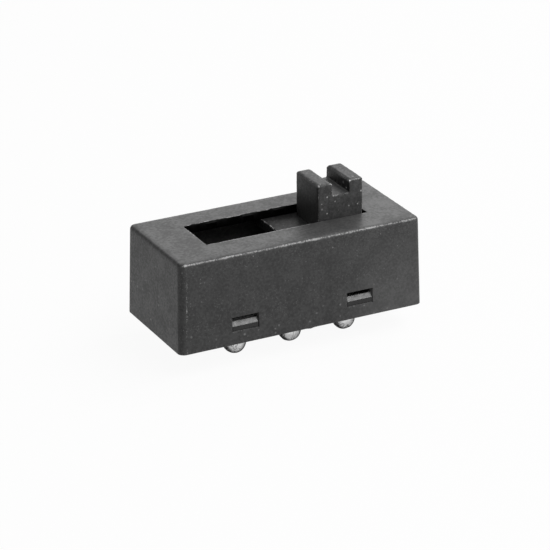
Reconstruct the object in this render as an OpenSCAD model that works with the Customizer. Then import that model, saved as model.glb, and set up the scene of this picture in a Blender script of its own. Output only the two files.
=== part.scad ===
// Slide switch with three positions, for a small mains appliance.
// Millimetres. X runs along the travel, Y across it and Z up; Z = 0 is the plane of the terminals' tips.
// A forked knob moves a spring-loaded bridge over three pairs of contacts, and a ball clicks into a
// notch at each pair. The board with the terminals snaps into the housing from below.

/* [Housing] */
// Length of the housing at its rim
housing_l = 30.8; // [30.4:0.1:33]
// Width of the housing at its rim
housing_w = 14.3; // [14:0.1:16]
// Height of the housing from its rim to its top face
housing_h = 10.7; // [10:0.1:12]
// How far each outer side leans in between the rim and the top
draft = 0.27; // [0:0.01:0.35]
// Radius of the upright corners
corner_r = 0.8; // [0.5:0.05:1.2]
// Radius of the edge around the top face
top_edge_r = 0.37; // [0.1:0.01:0.45]
// Wall around the board's pocket, at the rim
rim_wall = 1; // [0.8:0.05:1.2]
// Step in the wall that the board seats against
seat_step = 0.25; // [0.15:0.05:0.4]
// Thickness of the top wall
top_wall = 1; // [0.7:0.05:1.5]

/* [Snap windows] */
// Distance of each window from the middle, along the housing
window_x = 7.25; // [6:0.05:9]
// Width of a window
window_w = 3.3; // [2.5:0.1:4]
// Opening left above a snap tooth
window_over = 0.74; // [0.5:0.02:1]
// Height of a snap tooth
tooth_h = 0.9; // [0.7:0.05:1.2]
// How far a tooth's top stands above the board's face
tooth_rise = 0.11; // [0:0.01:0.2]
// Height of the ramp at the top of a snap tooth
tooth_ramp_h = 0.47; // [0.2:0.01:0.6]
// Length of that ramp across the wall
tooth_ramp_l = 0.38; // [0.3:0.01:0.8]
// How far a tooth's nose stays inside the housing's outer face
tooth_shy = 0.1; // [0.02:0.01:0.2]

/* [Knob] */
// Length of the knob along the travel
knob_l = 5.8; // [5.4:0.05:6.1]
// Width of the knob
knob_w = 5.5; // [4.5:0.05:6]
// Height of the knob above the housing's top face
knob_h = 4.35; // [3.5:0.05:6]
// Width of the fork's groove
groove_w = 2.2; // [1.5:0.05:2.5]
// Depth of the fork's groove
groove_depth = 1.55; // [1:0.05:2.5]
// Radius in the groove's lower corners
groove_r = 0.15; // [0.1:0.05:0.5]
// Radius of the knob's top edges
knob_edge_r = 0.35; // [0.1:0.05:0.4]
// Radius of the knob's upright corners
knob_corner_r = 0.2; // [0.1:0.05:0.4]
// How far the knob stands off the slider's middle, along the travel
knob_x = 0.12; // [-0.2:0.01:0.2]
// How far the knob stands off the slider's middle, across the travel
knob_y = 0.12; // [-0.3:0.01:0.3]

/* [Slider] */
// Thickness of the flange under the top wall
flange_t = 1.1; // [0.8:0.05:1.4]
// Length of the carrier under the flange
carrier_l = 10.8; // [10.6:0.1:12]
// Thickness of the carrier's outer walls
carrier_wall = 0.7; // [0.6:0.05:0.8]
// Roof left above the spring pockets, under the flange
pocket_roof = 0.6; // [0.4:0.05:0.8]

/* [Terminals] */
// Distance from one terminal to the next along a row, which is also the travel to the next position
pitch = 7; // [6.9:0.05:7.05]
// Distance from each row to the side of the housing, at its rim
row_margin = 3.65; // [3.5:0.05:3.75]
// Radius of a terminal's post
post_r = 1.4; // [1:0.05:1.5]
// Radius of a terminal's stem, from its post up through the board
stem_r = 1.15; // [1:0.05:1.2]
// How far a post stands out below the housing's rim
post_drop = 2.8; // [2:0.1:5]
// Radius of a terminal's head
head_r = 1.75; // [1.65:0.05:1.85]
// Thickness of a terminal's head
head_t = 0.6; // [0.5:0.05:0.7]

/* [Board] */
// Thickness of the terminal board
board_t = 2.2; // [2:0.05:2.5]
// How far the board's underside stays inside the rim
board_inset = 0.3; // [0.25:0.05:0.5]
// Height of the decks that carry the terminals' heads
deck_h = 0.6; // [0.4:0.05:0.8]
// Rim of a deck around a terminal's head
deck_rim = 0.2; // [0.1:0.05:0.3]
// Rim of the collar around a post, under the board
collar_rim = 0.8; // [0.5:0.05:1]
// Radius of the moulded inner corners
inner_r = 0.3; // [0.2:0.05:0.5]
// Width of the rail that the ball runs on
rail_w = 1.8; // [1.4:0.1:2]
// Length of the rail past its outer notches
rail_end = 2.2; // [1.5:0.1:2.2]
// Depth of a notch in the rail
notch_depth = 0.25; // [0.15:0.05:0.35]
// Radius of a notch
notch_r = 1.6; // [1.3:0.1:2]

/* [Contacts] */
// Radius of a fixed contact
fixed_r = 1.2; // [1:0.05:1.2]
// Thickness of a fixed contact
fixed_t = 0.45; // [0.35:0.05:0.5]
// How far a fixed contact stands above the deck
fixed_proud = 0.15; // [0.1:0.01:0.25]
// Radius of a moving contact's dome
dome_r = 1.1; // [0.8:0.05:1.3]
// Height of a moving contact's dome
dome_h = 0.65; // [0.55:0.05:0.8]
// Radius of a moving contact's shank through the bridge
shank_r = 0.6; // [0.4:0.05:0.7]
// Radius of the shank's riveted end
rivet_r = 0.9; // [0.8:0.05:1]
// Height of the shank's riveted end
rivet_h = 0.25; // [0.2:0.05:0.3]
// Width of the bridge
bridge_w = 2.8; // [2.6:0.1:3]
// Radius of the bridge's corners
bridge_corner_r = 0.5; // [0.2:0.1:1.2]
// Thickness of the bridge
bridge_t = 0.6; // [0.4:0.05:0.7]
// Distance from a moving contact's centre to the bridge's end
bridge_end = 1.2; // [1.1:0.05:1.3]
// Radius of the boss that centres the contact spring
boss_r = 0.8; // [0.6:0.05:0.85]
// Height of that boss
boss_h = 0.45; // [0.3:0.05:0.6]

/* [Springs and ball] */
// Mean radius of the contact spring's coil
contact_coil_r = 1.2; // [1.15:0.05:1.25]
// Wire radius of the contact spring
contact_wire_r = 0.2; // [0.15:0.01:0.22]
// Turns of the contact spring
contact_turns = 5; // [4:0.5:5.5]
// Radius of the detent ball
ball_r = 1; // [0.9:0.05:1.1]
// Distance of the ball from the middle of the carrier
ball_x = 3.6; // [3.5:0.05:3.65]
// Mean radius of the detent spring's coil
detent_coil_r = 0.7; // [0.6:0.05:0.75]
// Wire radius of the detent spring
detent_wire_r = 0.13; // [0.1:0.01:0.15]
// Turns of the detent spring
detent_turns = 6; // [5:0.5:6.5]

/* [Clearances] */
// Play between the slider's flange and the housing
flange_play = 0.1; // [0.05:0.01:0.15]
// Play between the flange and the top wall
lift_play = 0.06; // [0.03:0.01:0.1]
// Mean gap between the knob and the slot's sides
slot_side_gap = 0.235; // [0.2:0.005:0.3]
// How much wider than the mean the gap behind the knob is
slot_side_bias = 0.16; // [0:0.01:0.17]
// Mean gap between the knob and the slot's ends at the last positions
slot_end_gap = 0.26; // [0.24:0.005:0.4]
// How much wider than the mean the gap at the right-hand end is
slot_end_bias = 0.18; // [0:0.01:0.2]
// Gap between the board and its pocket
board_play = 0.1; // [0.05:0.01:0.15]
// Gap between a tooth and its window
tooth_play = 0.08; // [0.05:0.01:0.12]
// Gap between a terminal and its hole
post_fit = 0.02; // [0.01:0.01:0.04]
// Gap between the moving contacts and the fixed ones
contact_gap = 0.03; // [0.02:0.01:0.05]
// Lift that the bridge has in the carrier
bridge_float = 0.4; // [0.3:0.05:0.5]
// Play between the bridge and its channel
bridge_play = 0.05; // [0.03:0.01:0.1]
// Gap between the carrier and the rail
rail_gap = 0.23; // [0.15:0.01:0.3]
// Gap between the ball and the rail's crests
ball_gap = 0.03; // [0.02:0.01:0.05]
// Play around the ball in its bore
ball_play = 0.05; // [0.03:0.01:0.08]
// Play around the contact spring in its pocket
coil_play = 0.15; // [0.1:0.01:0.2]

/* [Hidden] */

$fn = 64;
eps = 0.01;
FRONT = -1;
BACK = 1;

// Colours
BLACK_PLASTIC = "#2b2b2b";
BOARD_PLASTIC = "#333333";
TINNED = "silver";
SILVER = "gainsboro";
COPPER = "peru";
STEEL = "lightsteelblue";

// Distance between the two rows of terminals
row_pitch = housing_w - 2 * row_margin;

// Heights, from the terminals' tips up
z_rim = post_drop;
z_board = z_rim + board_inset;
z_seat = z_board + board_t;
z_deck = z_seat + deck_h;
z_fixed = z_deck + fixed_proud;
z_dome = z_fixed + contact_gap;
z_bridge = z_dome + dome_h;
z_bridge_top = z_bridge + bridge_t;
z_rail = z_bridge - rail_gap;
z_ball = z_rail + ball_gap + ball_r;
z_top = z_rim + housing_h;
z_ceiling = z_top - top_wall;
z_flange = z_ceiling - lift_play;
z_carrier = z_flange - flange_t;
z_pocket = z_carrier - pocket_roof;
z_channel = z_bridge_top + rivet_h + bridge_float + bridge_play;

// Board pocket and cavity of the housing
pocket_l = housing_l - 2 * rim_wall;
pocket_w = housing_w - 2 * rim_wall;
cavity_l = pocket_l - 2 * seat_step;
cavity_w = pocket_w - 2 * seat_step;

// Slot, from the knob and its travel
slot_l = 2 * pitch + knob_l + 2 * slot_end_gap;
slot_w = knob_w + 2 * slot_side_gap;
slot_x = knob_x + slot_end_bias;
slot_y = knob_y + slot_side_bias;

// Slider
flange_l = cavity_l - 2 * pitch - 2 * flange_play;
flange_w = cavity_w - 2 * flange_play;
bridge_l = row_pitch + 2 * bridge_end;
channel_w = bridge_w + 2 * bridge_play;
channel_l = bridge_l + 4 * bridge_play;
carrier_w = channel_l + 2 * carrier_wall;
ball_boss_w = 2 * (ball_r + ball_play + carrier_wall);

// Snap teeth and their windows
z_tooth = z_seat - tooth_h;
z_peak = z_seat + tooth_rise;
tooth_w = window_w - 2 * tooth_play;
function side_y(z) = housing_w / 2 - draft * (z - z_rim) / housing_h;
nose_y = side_y(z_seat) - tooth_shy;

// Rectangle with round corners, centred
module round_rect(length, width, r) {
    square([length - 2 * r, width], center = true);
    square([length, width - 2 * r], center = true);
    for (sx = [-1, 1], sy = [-1, 1])
        translate([sx * (length / 2 - r), sy * (width / 2 - r)])
            circle(r);
}

// Rectangle that stands on the X axis, with its two upper corners round
module round_top(width, height, r) {
    translate([-width / 2, 0])
        square([width, height - r]);
    translate([r - width / 2, 0])
        square([width - 2 * r, height]);
    for (s = [-1, 1])
        translate([s * (width / 2 - r), height - r])
            circle(r);
}

// Extrusion along Y of a profile drawn in X and Z, centred on Y = 0
module across(width) {
    translate([0, width / 2, 0])
        rotate([90, 0, 0])
            linear_extrude(width)
                children();
}

// Extrusion along X of a profile drawn in Y and Z, centred on X = 0
module along(length) {
    rotate([90, 0, 90])
        translate([0, 0, -length / 2])
            linear_extrude(length)
                children();
}

// Disc below Z = 0 whose upper edge is round
module rounded_disc(r, edge_r) {
    rotate_extrude($fn = 48) {
        translate([0, -edge_r])
            square([r - edge_r, edge_r]);
        translate([r - edge_r, -edge_r])
            intersection() {
                circle(edge_r);
                square(edge_r);
            }
    }
}

// Outside of the housing: upright corners, a small lean on each side and a rounded top edge
module housing_block() {
    hull() {
        for (sx = [-1, 1], sy = [-1, 1]) {
            translate([sx * (housing_l / 2 - corner_r), sy * (housing_w / 2 - corner_r), z_rim])
                cylinder(r = corner_r, h = eps, $fn = 48);
            translate([
                sx * (housing_l / 2 - draft - corner_r), sy * (housing_w / 2 - draft - corner_r), z_top
            ])
                rounded_disc(corner_r, top_edge_r);
        }
    }
}

// Hollow of the housing: the board's pocket, and the narrower cavity above its seat
module housing_hollow() {
    translate([0, 0, z_rim - eps])
        linear_extrude(z_seat - z_rim + eps)
            round_rect(pocket_l, pocket_w, inner_r);
    translate([0, 0, z_seat - eps])
        linear_extrude(z_ceiling - z_seat + eps)
            round_rect(cavity_l, cavity_w, inner_r);
}

module housing() {
    window_h = tooth_play + tooth_h + window_over;
    color(BLACK_PLASTIC)
        difference() {
            housing_block();
            housing_hollow();
            translate([slot_x - slot_l / 2, slot_y - slot_w / 2, z_ceiling - eps])
                cube([slot_l, slot_w, top_wall + 2 * eps]);
            for (sx = [-1, 1])
                translate([sx * window_x - window_w / 2, -housing_w, z_tooth - tooth_play])
                    cube([window_w, 2 * housing_w, window_h]);
        }
}

// Forked knob, standing on the flange near the middle of the slider
module knob() {
    height = z_top + knob_h - z_flange;
    prong_l = (knob_l - groove_w) / 2;
    z_floor = height - groove_depth;
    translate([knob_x, knob_y, z_flange])
        intersection() {
            across(knob_w)
                difference() {
                    union() {
                        translate([-knob_l / 2, 0])
                            square([knob_l, z_floor + groove_r]);
                        for (s = [-1, 1])
                            translate([s * (knob_l - prong_l) / 2, 0])
                                round_top(prong_l, height, knob_edge_r);
                    }
                    translate([0, z_floor + groove_depth])
                        round_rect(groove_w, 2 * groove_depth, groove_r);
                }
            along(knob_l)
                round_top(knob_w, height, knob_edge_r);
            linear_extrude(height)
                round_rect(knob_l, knob_w, knob_corner_r);
        }
}

// Carrier: channel for the bridge, two round pockets for the springs and cored-out corners
module carrier() {
    inner_x = channel_w / 2 + carrier_wall;
    core_l = carrier_l / 2 - carrier_wall - inner_x;
    core_y = carrier_w / 2 - carrier_wall;
    difference() {
        translate([0, 0, z_bridge])
            linear_extrude(z_carrier - z_bridge)
                round_rect(carrier_l, carrier_w, inner_r);
        translate([-channel_w / 2, -channel_l / 2, z_bridge - eps])
            cube([channel_w, channel_l, z_channel - z_bridge + eps]);
        translate([0, 0, z_bridge])
            cylinder(r = contact_coil_r + contact_wire_r + coil_play, h = z_pocket - z_bridge);
        translate([ball_x, 0, z_bridge - eps])
            cylinder(r = ball_r + ball_play, h = z_pocket - z_bridge + eps);
        for (sx = [-1, 1], sy = [-1, 1]) {
            web = sx > 0 ? ball_boss_w / 2 : carrier_wall / 2;
            translate([
                sx > 0 ? inner_x : -inner_x - core_l, sy > 0 ? web : -core_y, z_bridge - eps
            ])
                cube([core_l, core_y - web, z_pocket - z_bridge + eps]);
        }
    }
}

// The slider is one moulding, drawn at its right-hand position
module slider() {
    color(BLACK_PLASTIC)
        translate([pitch, 0, 0]) {
            knob();
            translate([0, 0, z_carrier])
                linear_extrude(flange_t)
                    round_rect(flange_l, flange_w, inner_r);
            carrier();
        }
}

// Snap tooth on the board's front edge: a ramp above, a blunt nose and a flat hook below
module snap_tooth() {
    root_y = pocket_w / 2 - board_play - tooth_h;
    along(tooth_w)
        polygon([
            [-root_y, z_tooth], [-nose_y, z_tooth], [-nose_y, z_peak - tooth_ramp_h],
            [tooth_ramp_l - nose_y, z_peak], [-root_y, z_peak]
        ]);
}

// Rail for the detent ball, with a notch at each position
module detent_rail() {
    first_x = ball_x - pitch - rail_end;
    last_x = ball_x + pitch + rail_end;
    difference() {
        translate([first_x, -rail_w / 2, z_seat - eps])
            cube([last_x - first_x, rail_w, z_rail - z_seat + eps]);
        for (i = [-1 : 1])
            translate([ball_x + i * pitch, 0, z_rail - notch_depth + notch_r])
                rotate([90, 0, 0])
                    cylinder(r = notch_r, h = 2 * rail_w, center = true);
    }
}

module terminal_board() {
    deck_w = 2 * (head_r + post_fit + deck_rim);
    color(BOARD_PLASTIC)
        difference() {
            union() {
                translate([0, 0, z_board])
                    linear_extrude(board_t)
                        round_rect(pocket_l - 2 * board_play, pocket_w - 2 * board_play, inner_r);
                for (sy = [FRONT, BACK])
                    translate([0, sy * row_pitch / 2, z_seat - eps])
                        linear_extrude(deck_h + eps)
                            round_rect(2 * pitch + deck_w, deck_w, deck_w / 2 - eps);
                for (i = [-1 : 1], sy = [FRONT, BACK])
                    translate([i * pitch, sy * row_pitch / 2, z_rim + post_fit])
                        cylinder(r = post_r + collar_rim, h = board_inset);
                for (sx = [-1, 1], turn = [0, 180])
                    rotate(turn)
                        translate([sx * window_x, 0, 0])
                            snap_tooth();
                detent_rail();
            }
            for (i = [-1 : 1], sy = [FRONT, BACK])
                translate([i * pitch, sy * row_pitch / 2, 0]) {
                    cylinder(r = stem_r + post_fit, h = z_deck);
                    translate([0, 0, z_deck - head_t])
                        cylinder(r = head_r + post_fit, h = head_t + eps);
                }
        }
}

// Rivet terminal: a post with a round nose, a stem from its shoulder up through the board, and a
// head formed over the deck, with a recess for its contact
module terminal(column, row) {
    recess = fixed_t - fixed_proud;
    color(TINNED)
        translate([column * pitch, row * row_pitch / 2, 0])
            rotate_extrude() {
                translate([0, post_r])
                    square([post_r, z_rim - post_r]);
                translate([0, z_rim - eps])
                    square([stem_r, z_deck - recess - z_rim]);
                intersection() {
                    translate([0, post_r])
                        circle(post_r);
                    square([post_r, post_r]);
                }
                translate([0, z_deck - head_t])
                    square([head_r, head_t - recess]);
                translate([fixed_r + post_fit, z_deck - recess])
                    square([head_r - fixed_r - post_fit, recess]);
            }
}

// Silver disc on a terminal's head, with a small chamfer that the moving contact rides up
module fixed_contact(column, row) {
    color(SILVER)
        translate([column * pitch, row * row_pitch / 2, z_fixed - fixed_t]) {
            cylinder(r = fixed_r, h = fixed_t - fixed_proud);
            translate([0, 0, fixed_t - fixed_proud])
                cylinder(r1 = fixed_r, r2 = fixed_r - fixed_proud, h = fixed_proud);
        }
}

// Strip that joins a front contact to a back one, with a boss under the contact spring
module contact_bridge() {
    color(COPPER)
        translate([pitch, 0, z_bridge])
            difference() {
                union() {
                    linear_extrude(bridge_t)
                        round_rect(bridge_w, bridge_l, bridge_corner_r);
                    cylinder(r = boss_r, h = bridge_t + boss_h);
                }
                for (sy = [FRONT, BACK])
                    translate([0, sy * row_pitch / 2, -eps])
                        cylinder(r = shank_r + post_fit, h = bridge_t + 2 * eps);
            }
}

// Silver rivet in an end of the bridge: a dome below, a shank and a riveted end above
module bridge_contact(row) {
    sphere_r = (dome_r * dome_r + dome_h * dome_h) / (2 * dome_h);
    color(SILVER)
        translate([pitch, row * row_pitch / 2, z_bridge])
            rotate_extrude() {
                intersection() {
                    translate([0, sphere_r - dome_h])
                        circle(sphere_r);
                    translate([0, -dome_h])
                        square([dome_r, dome_h]);
                }
                square([shank_r, bridge_t + rivet_h]);
                translate([0, bridge_t])
                    square([rivet_r, rivet_h]);
            }
}

// Height of a coil's wire at a turn: a closed turn at each end and an even pitch between them
function coil_z(turn, turns, closed, height) =
    turn < 1 ? turn * closed
    : turn > turns - 1 ? height - (turns - turn) * closed
    : closed + (turn - 1) * (height - 2 * closed) / (turns - 2);

// Compression spring from z = 0 to z = height, as round wire swept along its helix
module coil_spring(coil_r, wire_r, turns, height) {
    steps = 20;
    sides = 8;
    closed = 2.1 * wire_r;
    rings = round(turns * steps);
    points = [
        for (i = [0 : rings])
            let (turn = i / steps, a = 360 * turn)
            let (z = wire_r + coil_z(turn, turns, closed, height - 2 * wire_r))
            for (j = [0 : sides - 1])
                let (b = 360 * j / sides, r = coil_r + wire_r * cos(b))
                [r * cos(a), r * sin(a), z + wire_r * sin(b)]
    ];
    walls = [
        for (i = [0 : rings - 1], j = [0 : sides - 1])
            let (k = (j + 1) % sides)
            [i * sides + j, (i + 1) * sides + j, (i + 1) * sides + k, i * sides + k]
    ];
    start = [for (j = [0 : sides - 1]) j];
    end = [for (j = [sides - 1 : -1 : 0]) rings * sides + j];
    polyhedron(points, concat([start, end], walls), convexity = 10);
}

module contact_spring() {
    color(STEEL)
        translate([pitch, 0, z_bridge_top])
            coil_spring(contact_coil_r, contact_wire_r, contact_turns, z_pocket - z_bridge_top);
}

module detent_ball() {
    color(STEEL)
        translate([pitch + ball_x, 0, z_ball])
            sphere(ball_r);
}

// The detent spring's lowest turn rests around the top of the ball
module detent_spring() {
    reach = ball_r + detent_wire_r + post_fit;
    z_foot = z_ball + sqrt(reach * reach - detent_coil_r * detent_coil_r) - detent_wire_r;
    color(STEEL)
        translate([pitch + ball_x, 0, z_foot])
            coil_spring(detent_coil_r, detent_wire_r, detent_turns, z_pocket - z_foot);
}

housing();
slider();
terminal_board();
terminal(-1, FRONT);  // terminal_front_left
terminal(0, FRONT);  // terminal_front_middle
terminal(1, FRONT);  // terminal_front_right
terminal(-1, BACK);  // terminal_back_left
terminal(0, BACK);  // terminal_back_middle
terminal(1, BACK);  // terminal_back_right
fixed_contact(-1, FRONT);  // fixed_contact_front_left
fixed_contact(0, FRONT);  // fixed_contact_front_middle
fixed_contact(1, FRONT);  // fixed_contact_front_right
fixed_contact(-1, BACK);  // fixed_contact_back_left
fixed_contact(0, BACK);  // fixed_contact_back_middle
fixed_contact(1, BACK);  // fixed_contact_back_right
contact_bridge();
bridge_contact(FRONT);  // bridge_contact_front
bridge_contact(BACK);  // bridge_contact_back
contact_spring();
detent_ball();
detent_spring();
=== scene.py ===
"""Dressed model of the slide switch: moulded housing, forked slider, rivet terminals and contacts.

Lengths are in metres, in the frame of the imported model: X along the travel, Y across it, Z up."""

import math

import bmesh
import bpy
from mathutils import Matrix, Vector, noise


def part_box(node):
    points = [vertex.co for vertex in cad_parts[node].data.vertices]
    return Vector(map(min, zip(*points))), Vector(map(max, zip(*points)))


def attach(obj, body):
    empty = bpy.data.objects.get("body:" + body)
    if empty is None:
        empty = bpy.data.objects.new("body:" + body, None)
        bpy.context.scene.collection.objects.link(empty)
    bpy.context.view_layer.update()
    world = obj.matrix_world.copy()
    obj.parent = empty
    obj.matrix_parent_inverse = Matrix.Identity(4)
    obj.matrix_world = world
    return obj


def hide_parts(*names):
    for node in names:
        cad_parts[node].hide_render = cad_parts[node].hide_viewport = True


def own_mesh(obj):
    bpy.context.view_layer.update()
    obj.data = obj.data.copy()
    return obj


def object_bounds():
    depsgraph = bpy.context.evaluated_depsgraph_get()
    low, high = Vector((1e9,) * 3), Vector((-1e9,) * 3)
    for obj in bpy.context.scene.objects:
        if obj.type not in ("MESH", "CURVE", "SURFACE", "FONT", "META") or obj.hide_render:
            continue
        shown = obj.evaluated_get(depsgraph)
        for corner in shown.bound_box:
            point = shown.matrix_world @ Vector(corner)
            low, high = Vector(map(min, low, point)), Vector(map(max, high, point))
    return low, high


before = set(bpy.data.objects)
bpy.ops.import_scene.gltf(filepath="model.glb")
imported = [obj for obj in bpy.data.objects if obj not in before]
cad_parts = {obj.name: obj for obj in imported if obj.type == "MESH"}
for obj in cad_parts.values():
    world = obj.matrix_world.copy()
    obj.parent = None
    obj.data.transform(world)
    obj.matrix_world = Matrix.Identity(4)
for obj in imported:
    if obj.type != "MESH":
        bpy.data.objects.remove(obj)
cad_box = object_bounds()

MM = 0.001
TINY = 0.001 * MM

# Sizes of the housing that its box does not give
DRAFT = 0.27 * MM
CORNER_R = 0.8 * MM
TOP_EDGE_R = 0.37 * MM
RIM_WALL = 1.0 * MM
SEAT_STEP = 0.25 * MM
TOP_WALL = 1.0 * MM
INNER_R = 0.3 * MM
# Sizes of the knob
GROOVE_W = 2.2 * MM
GROOVE_DEPTH = 1.55 * MM
GROOVE_R = 0.15 * MM
KNOB_EDGE_R = 0.26 * MM
# Radius of a terminal's stem, as a share of its post's
STEM_SHARE = 0.82

# Small roundings of the slot's and the windows' lips
SLOT_LIP_R = 0.05 * MM
WINDOW_LIP_R = 0.07 * MM
# How deep the slot's lip is worn, and how far a window's floor is raised
SLOT_LIP_DEPTH = 0.25 * MM
WINDOW_FLOOR_RISE = 0.05 * MM
# Nub left by the moulding under the front rim
NUB_X = 0.85 * MM
NUB_HALF_L = 0.45 * MM
NUB_DROP = 0.08 * MM
# How far the back ends of the knob's prongs fall
PRONG_DROP = 0.16 * MM
# How far in from the outside the housing's skin is marked and uneven
SKIN_DEPTH = 0.7 * MM
# How far wear goes from an outer edge and from a lip: as far as it is full, and where it ends
EDGE_REACH = (0.12 * MM, 0.42 * MM)
LIP_REACH = (0.03 * MM, 0.2 * MM)
# The same for a tip and a nick of the knob
TIP_REACH = (0.14 * MM, 0.36 * MM)
NICK_REACH = (0.05 * MM, 0.2 * MM)
# Distance between the points of the housing's skin along X, Y and Z, and of the knob's
HOUSING_STEPS = (0.26 * MM, 0.28 * MM, 0.4 * MM)
KNOB_STEP = 0.15 * MM

# The floor and its surroundings, as shares of full white
FLOOR_TONE = 0.78
FLOOR_SEEN = 0.94
FLOOR_MIRRORED = 0.32
# Extra white in reflections near the left end: painted light on the floor
FLOOR_PAINTED_LIGHT_LEFT = 0.5
FILL_LIGHT = 0.22

# The camera, in millimetres and degrees: its aim from the middle of the part, and its direction
CAMERA_OFFSET = (-0.32, -0.69, -1.84)
CAMERA_AHEAD = (0.4165, 0.8170, -0.3989)
CAMERA_ROLL = -0.403
CAMERA_LENS = 181.55
CAMERA_DISTANCE = 316.4


# ---------------------------------------------------------------- places in the frame


def span(node, low, high):
    """Lowest and highest corner of those points of a node that lie between two corners."""
    inside = [
        v.co
        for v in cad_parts[node].data.vertices
        if all(a - TINY <= c <= b + TINY for a, c, b in zip(low, v.co, high))
    ]
    return (
        Vector([min(p[i] for p in inside) for i in range(3)]),
        Vector([max(p[i] for p in inside) for i in range(3)]),
    )


# Edges of the solids, each found among the points between two corners. The seat comes out too
# low: it is the windows' lower edge on the pocket's wall, 0.98 mm below the solid's own seat.
rim_low, top_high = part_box("housing")
rim_z, top_z = rim_low.z, top_high.z
half_l, half_w = top_high.x, top_high.y
ceiling_z = top_z - TOP_WALL
wall_y = half_w - RIM_WALL - SEAT_STEP
seat_z = span(
    "housing",
    (-half_l, -half_w + RIM_WALL + TINY, rim_z + MM),
    (half_l, -half_w + RIM_WALL + SEAT_STEP, ceiling_z - MM),
)[0].z
slot_low, slot_high = span(
    "housing",
    (-half_l + 2 * MM, -half_w + 1.5 * MM, top_z),
    (half_l - 2 * MM, half_w - 1.5 * MM, top_z),
)
window_low, window_high = span(
    "housing",
    (2 * MM, -half_w, rim_z + MM),
    (half_l - 2 * MM, -half_w + 0.6 * MM, rim_z + 5 * MM),
)
flange_low, flange_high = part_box("slider")
flange_z = span(
    "slider",
    (flange_low.x, flange_low.y, flange_low.z),
    (flange_low.x + 0.01 * MM, flange_high.y, flange_high.z),
)[1].z
ramp_z = span(
    "terminal_board",
    (window_low.x, -half_w, window_low.z + 0.2 * MM),
    (window_high.x, -half_w + 0.3 * MM, window_high.z),
)[1].z
knob_low, knob_high = span(
    "slider",
    (flange_low.x, flange_low.y, top_z + MM),
    (flange_high.x, flange_high.y, flange_high.z),
)


# ---------------------------------------------------------------- mesh tools


def block(low, high):
    """Box between two corners."""
    bm = bmesh.new()
    bmesh.ops.create_cube(bm, size=1)
    bmesh.ops.scale(bm, vec=high - low, verts=bm.verts)
    bmesh.ops.translate(bm, vec=(low + high) / 2, verts=bm.verts)
    return bm


def soften(bm, edges, radius, segments):
    """Rounds some edges."""
    bmesh.ops.bevel(
        bm,
        geom=edges,
        offset=radius,
        offset_type="OFFSET",
        segments=segments,
        profile=0.5,
        affect="EDGES",
        material=-1,
    )


def upright(edge):
    """Whether an edge stands more than it lies."""
    a, b = (v.co for v in edge.verts)
    return abs(a.z - b.z) > 0.5 * (a - b).length


def at_height(edge, z):
    """Whether both ends of an edge are at a height."""
    return all(abs(v.co.z - z) < TINY for v in edge.verts)


def spread(start, stop, step, through=()):
    """Places about a step apart between two ends, through each of the given ones."""
    marks = sorted([start, *through, stop])
    places = []
    for a, b in zip(marks, marks[1:]):
        parts = max(1, round((b - a) / step))
        places += [a + (b - a) * i / parts for i in range(1, parts + 1)]
    return places[:-1]


def slice_up(bm, axis, places, wanted=None):
    """Cuts a mesh, or the faces whose middle passes a test, across an axis at each place."""
    normal = Vector([float(i == axis) for i in range(3)])
    for place in places:
        faces = [f for f in bm.faces if not wanted or wanted(f.calc_center_median())]
        edges = {e for f in faces for e in f.edges}
        verts = {v for f in faces for v in f.verts}
        bmesh.ops.bisect_plane(
            bm,
            geom=list(verts) + list(edges) + faces,
            dist=TINY / 10,
            plane_co=normal * place,
            plane_no=normal,
        )


def drop_faces(bm, wanted):
    """Deletes the faces whose middle passes a test."""
    faces = [f for f in bm.faces if wanted(f.calc_center_median())]
    bmesh.ops.delete(bm, geom=faces, context="FACES")


def open_edges(bm, wanted=lambda p: True):
    """Edges with a face on one side only, and both ends passing a test."""
    return [e for e in bm.edges if e.is_boundary and all(wanted(v.co) for v in e.verts)]


def close_holes(bm):
    """Fills every open loop of edges."""
    bmesh.ops.holes_fill(bm, edges=open_edges(bm), sides=0)


def new_points(made):
    """Points among what an extrusion made."""
    return [v for v in made["geom"] if isinstance(v, bmesh.types.BMVert)]


def new_masks(bm, *names):
    """Values on the points, which the materials read by name."""
    for name in names:
        bm.verts.layers.float.new(name)
    return [bm.verts.layers.float[name] for name in names]


def join(bm, other):
    """Adds another mesh to this one."""
    mesh = bpy.data.meshes.new("part")
    other.to_mesh(mesh)
    other.free()
    bm.from_mesh(mesh)
    bpy.data.meshes.remove(mesh)


def ripple(point, size, seed):
    """Smooth noise from 0 to 1 with lumps of about a size."""
    shift = Vector((seed * 17.3, seed * 5.1, seed * 11.7))
    return min(1.0, max(0.0, 0.5 + 0.62 * noise.noise(point / size + shift)))


def nearness(distance, full, none):
    """1 up to the full distance from an edge, falling to 0 at the other."""
    return min(1.0, max(0.0, (none - distance) / (none - full)))


def edge_gap(gaps):
    """How far a point is from an edge: the second smallest of its gaps to the faces around it."""
    return sorted(abs(g) for g in gaps)[1]


def face_out(bm):
    """Points all faces outwards: a closed shell then encloses a positive volume."""
    bmesh.ops.recalc_face_normals(bm, faces=bm.faces)
    if bm.calc_volume(signed=True) < 0:
        bmesh.ops.reverse_faces(bm, faces=bm.faces)
    bm.normal_update()


def push_points(pushes):
    """Moves points, once all the moves are known."""
    for v, push in pushes:
        v.co += push


def add_object(name, data):
    """New object in the scene."""
    item = bpy.data.objects.new(name, data)
    bpy.context.scene.collection.objects.link(item)
    return item


def make_piece(bm, name, body, material, nodes=(), crease=38):
    """Turns a mesh into a piece that rides on a body."""
    face_out(bm)
    for face in bm.faces:
        face.smooth = True
    sharp = math.radians(crease)
    for edge in bm.edges:
        edge.smooth = len(edge.link_faces) == 2 and edge.calc_face_angle() < sharp
    mesh = bpy.data.meshes.new(name)
    bm.to_mesh(mesh)
    bm.free()
    piece = add_object(name, mesh)
    mesh.materials.append(material)
    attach(piece, body)
    if nodes:
        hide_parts(*nodes)
    return piece


# ---------------------------------------------------------------- node tools


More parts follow.
